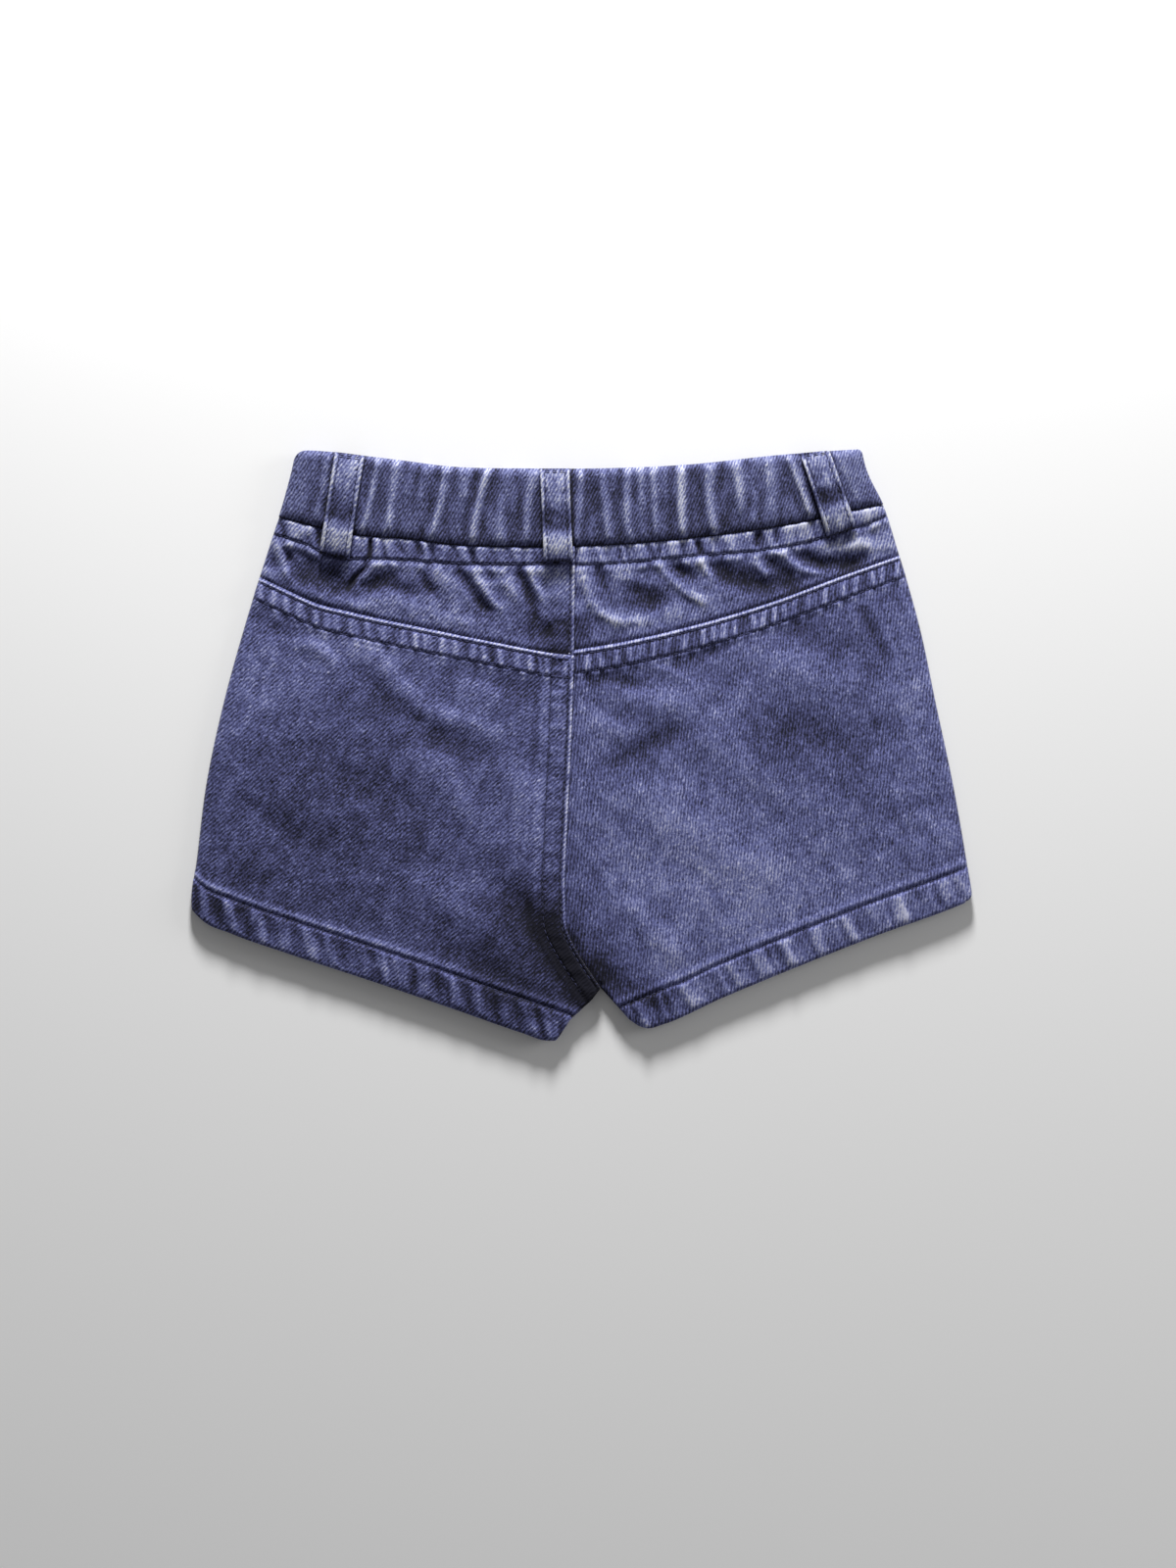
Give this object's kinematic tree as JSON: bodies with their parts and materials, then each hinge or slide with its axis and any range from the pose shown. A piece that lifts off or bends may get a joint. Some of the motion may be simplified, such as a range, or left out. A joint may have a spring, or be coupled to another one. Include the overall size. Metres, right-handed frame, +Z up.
{
  "type": "pull-on denim shorts",
  "caption": "Small child's pull-on denim shorts laid flat with the back up: gathered elastic waistband, V yoke, lapped centre seam and belt loops",
  "frame": {"origin": "middle of the shorts' bounding box, on the surface they lie on", "axes": "X runs across the shorts to the wearer's right, +Y to the waist, +Z up out of the back"},
  "size_m": [0.2899, 0.2196, 0.0105],
  "materials": {
    "denim_leg": "washed indigo twill, matte",
    "denim_yoke": "washed indigo twill, matte",
    "denim_band": "washed indigo twill gathered on elastic, matte",
    "denim_loop": "paler worn indigo twill, matte",
    "denim_front": "washed indigo twill, matte"
  },
  "bodies": {
    "root": {"back_left": "denim_leg", "back_right": "denim_leg", "yoke_left": "denim_yoke", "yoke_right": "denim_yoke", "front_left": "denim_front", "front_right": "denim_front", "waistband_back": "denim_band", "waistband_front": "denim_band", "belt_loop_left": "denim_loop", "belt_loop_center": "denim_loop", "belt_loop_right": "denim_loop"}
  },
  "joints": []
}
